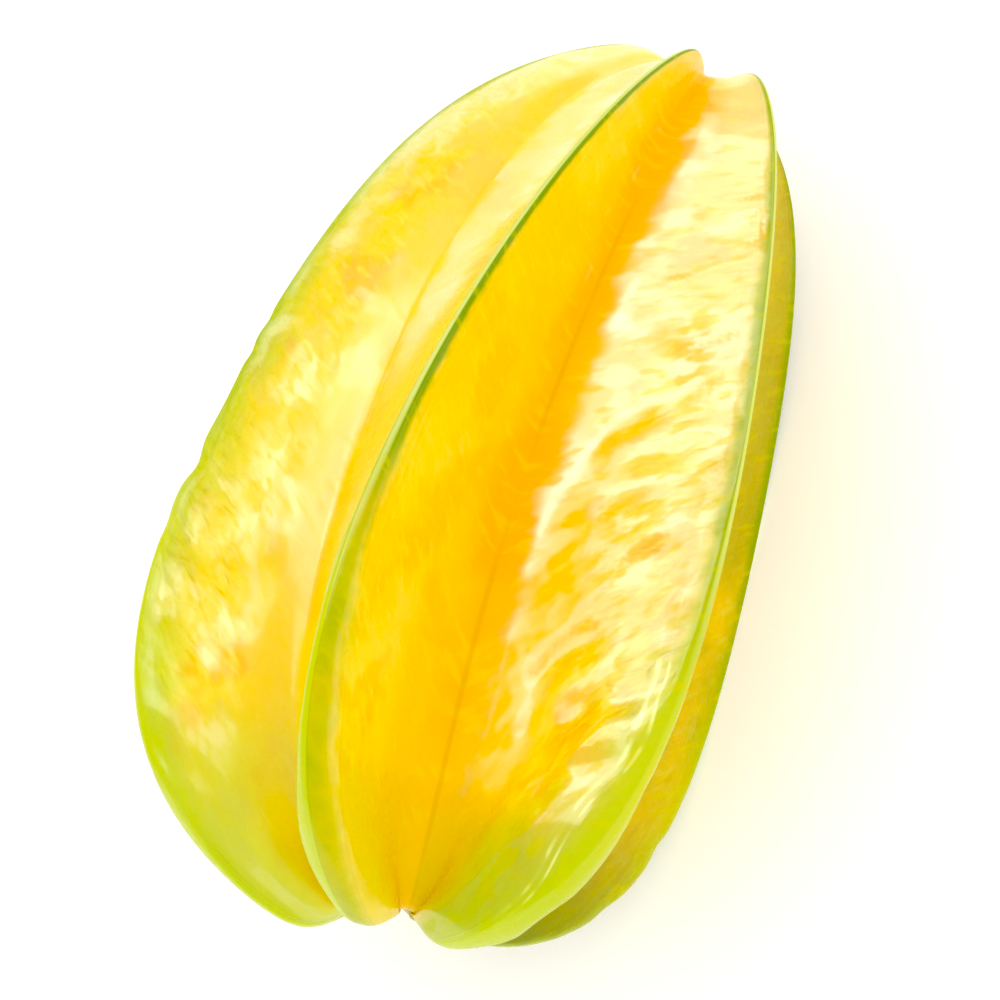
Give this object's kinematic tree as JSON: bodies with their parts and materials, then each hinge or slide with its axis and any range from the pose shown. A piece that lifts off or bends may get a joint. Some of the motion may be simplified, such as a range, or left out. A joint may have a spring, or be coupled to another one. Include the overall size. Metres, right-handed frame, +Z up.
{
  "type": "star fruit",
  "caption": "Ripe star fruit (carambola) lying on its side on two ribs: a tapered oval body with blunt-edged ribs, hollowed ends and a dry stalk stub.",
  "frame": {"origin": "on the surface that the fruit lies on, under the middle of its box", "axes": "+X along the fruit towards its stalk end, +Z up, away from the surface"},
  "size_m": [0.1132, 0.0706, 0.0667],
  "materials": {
    "skin": "waxy, glossy fruit skin, yellow with green rib edges",
    "stalk": "dry and rough"
  },
  "bodies": {
    "root": {"fruit": "skin", "stalk_stub": "stalk"}
  },
  "joints": []
}
